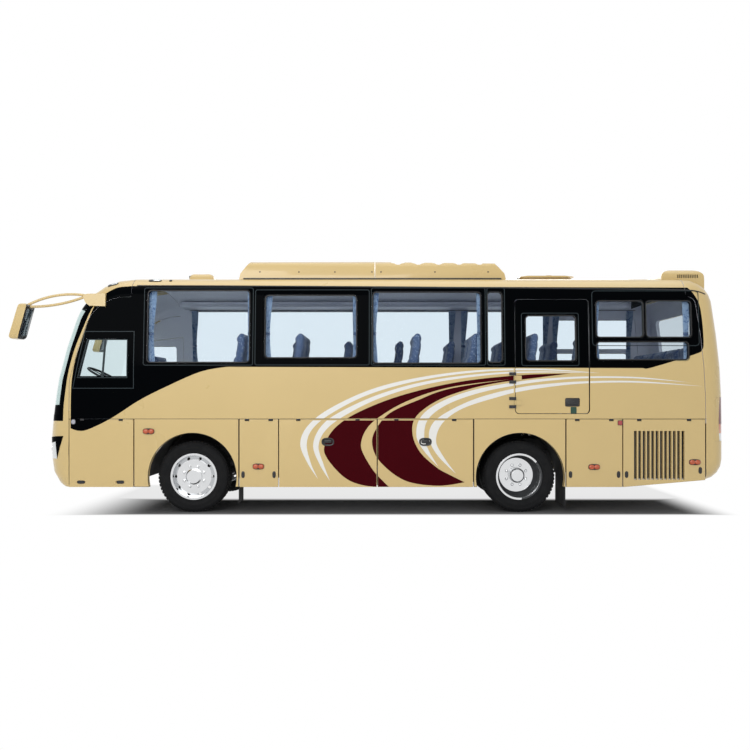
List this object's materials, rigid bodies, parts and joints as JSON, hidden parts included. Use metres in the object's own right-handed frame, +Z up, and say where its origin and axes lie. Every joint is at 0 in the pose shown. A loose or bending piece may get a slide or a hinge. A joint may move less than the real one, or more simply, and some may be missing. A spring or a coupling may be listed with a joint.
{
  "type": "coach bus",
  "caption": "Nine-metre touring coach with a raked windscreen, dark window band, swept livery, roof air unit, opening doors and skirt flaps.",
  "frame": {"origin": "centre of the footprint box on the ground", "axes": "+X to the rear, +Y to the right-hand side, +Z up"},
  "size_m": [9.265, 2.89, 3.335],
  "materials": {
    "body_paint": "gloss",
    "window_glass": "clear tinted",
    "frame_steel": "satin black",
    "cast_parts": "painted",
    "deck_board": "vinyl covered",
    "bay_sheet": "satin",
    "lamp_clear": "clear",
    "lamp_red": "clear red",
    "black_plastic": "grained",
    "grey_plastic": "grained",
    "black_rubber": "matte",
    "tyre_rubber": "matte",
    "wheel_bright": "polished",
    "wheel_steel": "silver paint",
    "seat_cloth": "woven",
    "curtain_cloth": "pleated",
    "rack_plastic": "satin",
    "hinge_steel": "brushed"
  },
  "bodies": {
    "coach": {"chassis": "frame_steel", "luggage_bay": "bay_sheet", "floor_deck": "deck_board", "front_cap": "body_paint", "windscreen": "window_glass", "headlamps": "lamp_clear", "side_wall_left": "body_paint", "side_wall_right": "body_paint", "arch_panels": "body_paint", "window_glass": "window_glass", "roof": "body_paint", "rear_cap": "body_paint", "tail_lamps": "lamp_red", "roof_air_unit": "body_paint", "rear_roof_pod": "body_paint", "mirrors": "body_paint", "wipers": "black_plastic", "wheel_housings": "black_plastic", "mudflaps": "black_rubber", "front_axle": "cast_parts", "rear_axle": "cast_parts", "engine": "cast_parts", "tanks": "frame_steel", "hinges": "hinge_steel", "dashboard": "grey_plastic", "driver_seat": "seat_cloth", "passenger_seats": "seat_cloth", "luggage_racks": "rack_plastic", "curtains": "curtain_cloth"},
    "knuckle_left": {"knuckle_left": "cast_parts"},
    "knuckle_right": {"knuckle_right": "cast_parts"},
    "tie_rod": {"tie_rod": "cast_parts"},
    "wheel_fl": {"wheel_front_left": "wheel_bright", "tyre_front_left": "tyre_rubber"},
    "wheel_fr": {"wheel_front_right": "wheel_bright", "tyre_front_right": "tyre_rubber"},
    "wheel_rl": {"wheel_rear_left": "wheel_steel", "tyres_rear_left": "tyre_rubber"},
    "wheel_rr": {"wheel_rear_right": "wheel_steel", "tyres_rear_right": "tyre_rubber"},
    "door_arm": {"front_door_arm": "hinge_steel"},
    "door_leaf": {"front_door": "body_paint", "front_door_glass": "window_glass"},
    "emergency_leaf": {"emergency_door": "body_paint", "emergency_glass": "window_glass"},
    "lid": {"engine_lid": "body_paint"},
    "hatch": {"roof_hatch": "body_paint"},
    "steering_wheel": {"steering_wheel": "black_plastic"},
    "flap_front_left": {"flap_front_left": "body_paint"},
    "flap_filler_left": {"flap_filler_left": "body_paint"},
    "flap_luggage_a_left": {"flap_luggage_a_left": "body_paint"},
    "flap_luggage_b_left": {"flap_luggage_b_left": "body_paint"},
    "flap_service_left": {"flap_service_left": "body_paint"},
    "flap_radiator_left": {"flap_radiator_left": "body_paint"},
    "flap_luggage_a_right": {"flap_luggage_a_right": "body_paint"},
    "flap_luggage_b_right": {"flap_luggage_b_right": "body_paint"},
    "flap_engine_right": {"flap_engine_right": "body_paint"}
  },
  "joints": [
    {"name": "steer_left", "type": "hinge", "parent": "coach", "child": "knuckle_left", "pos_m": [-2.3575, -0.8505, 0.464], "axis": [0, 0, 1], "range_deg": [-38, 38]},
    {"name": "steer_right", "type": "hinge", "parent": "coach", "child": "knuckle_right", "pos_m": [-2.3575, 0.8505, 0.464], "axis": [0, 0, 1], "range_deg": [-38, 38]},
    {"name": "tie_rod_turn", "type": "hinge", "parent": "knuckle_left", "child": "tie_rod", "pos_m": [-2.1275, -0.8505, 0.344], "axis": [0, 0, 1], "range_deg": [-38, 38]},
    {"name": "steering_wheel_turn", "type": "hinge", "parent": "coach", "child": "steering_wheel", "pos_m": [-3.7405, -0.62, 1.8], "axis": [0.4695, 0, 0.8829], "range_deg": [-342, 342]},
    {"name": "spin_front_left", "type": "hinge", "parent": "knuckle_left", "child": "wheel_fl", "pos_m": [-2.3575, -1.0525, 0.464], "axis": [0, 1, 0], "continuous": true},
    {"name": "spin_front_right", "type": "hinge", "parent": "knuckle_right", "child": "wheel_fr", "pos_m": [-2.3575, 1.0525, 0.464], "axis": [0, 1, 0], "continuous": true},
    {"name": "spin_rear_left", "type": "hinge", "parent": "coach", "child": "wheel_rl", "pos_m": [1.8925, -1.0525, 0.464], "axis": [0, 1, 0], "continuous": true},
    {"name": "spin_rear_right", "type": "hinge", "parent": "coach", "child": "wheel_rr", "pos_m": [1.8925, 1.0525, 0.464], "axis": [0, 1, 0], "continuous": true},
    {"name": "front_door_swing", "type": "hinge", "parent": "coach", "child": "door_arm", "pos_m": [-3.8225, 1.118, 0.8], "axis": [0, 0, 1], "range_deg": [0, 115]},
    {"name": "front_door_follow", "type": "hinge", "parent": "door_arm", "child": "door_leaf", "pos_m": [-3.4025, 1.118, 0.8], "axis": [0, 0, 1], "range_deg": [-115, 0]},
    {"name": "emergency_door_swing", "type": "hinge", "parent": "coach", "child": "emergency_leaf", "pos_m": [1.8285, -1.2495, 1.6], "axis": [0, 0, -1], "range_deg": [0, 100]},
    {"name": "flap_front_left_lift", "type": "hinge", "parent": "coach", "child": "flap_front_left", "pos_m": [-3.536, -1.23, 1.206], "axis": [-1, 0, 0], "range_deg": [0, 85]},
    {"name": "flap_filler_left_lift", "type": "hinge", "parent": "coach", "child": "flap_filler_left", "pos_m": [-1.495, -1.23, 1.206], "axis": [-1, 0, 0], "range_deg": [0, 85]},
    {"name": "flap_luggage_a_left_lift", "type": "hinge", "parent": "coach", "child": "flap_luggage_a_left", "pos_m": [-0.6, -1.23, 1.206], "axis": [-1, 0, 0], "range_deg": [0, 85]},
    {"name": "flap_luggage_b_left_lift", "type": "hinge", "parent": "coach", "child": "flap_luggage_b_left", "pos_m": [0.6625, -1.23, 1.206], "axis": [-1, 0, 0], "range_deg": [0, 85]},
    {"name": "flap_service_left_lift", "type": "hinge", "parent": "coach", "child": "flap_service_left", "pos_m": [2.852, -1.23, 1.206], "axis": [-1, 0, 0], "range_deg": [0, 85]},
    {"name": "flap_radiator_left_lift", "type": "hinge", "parent": "coach", "child": "flap_radiator_left", "pos_m": [3.757, -1.23, 1.206], "axis": [-1, 0, 0], "range_deg": [0, 85]},
    {"name": "flap_luggage_a_right_lift", "type": "hinge", "parent": "coach", "child": "flap_luggage_a_right", "pos_m": [-0.6, 1.23, 1.206], "axis": [1, 0, 0], "range_deg": [0, 85]},
    {"name": "flap_luggage_b_right_lift", "type": "hinge", "parent": "coach", "child": "flap_luggage_b_right", "pos_m": [0.6625, 1.23, 1.206], "axis": [1, 0, 0], "range_deg": [0, 85]},
    {"name": "flap_engine_right_lift", "type": "hinge", "parent": "coach", "child": "flap_engine_right", "pos_m": [3.3895, 1.23, 1.206], "axis": [1, 0, 0], "range_deg": [0, 85]},
    {"name": "engine_lid_lift", "type": "hinge", "parent": "coach", "child": "lid", "pos_m": [4.6185, 0, 1.2], "axis": [0, -1, 0], "range_deg": [0, 75]},
    {"name": "roof_hatch_lift", "type": "hinge", "parent": "coach", "child": "hatch", "pos_m": [2.0385, 0, 3.195], "axis": [0, -1, 0], "range_deg": [0, 40]}
  ],
  "couplings": [
    {"joint": "steer_right", "follows": "steer_left", "ratio": 1},
    {"joint": "tie_rod_turn", "follows": "steer_left", "ratio": -1},
    {"joint": "steering_wheel_turn", "follows": "steer_left", "ratio": 9},
    {"joint": "front_door_follow", "follows": "front_door_swing", "ratio": -1}
  ]
}
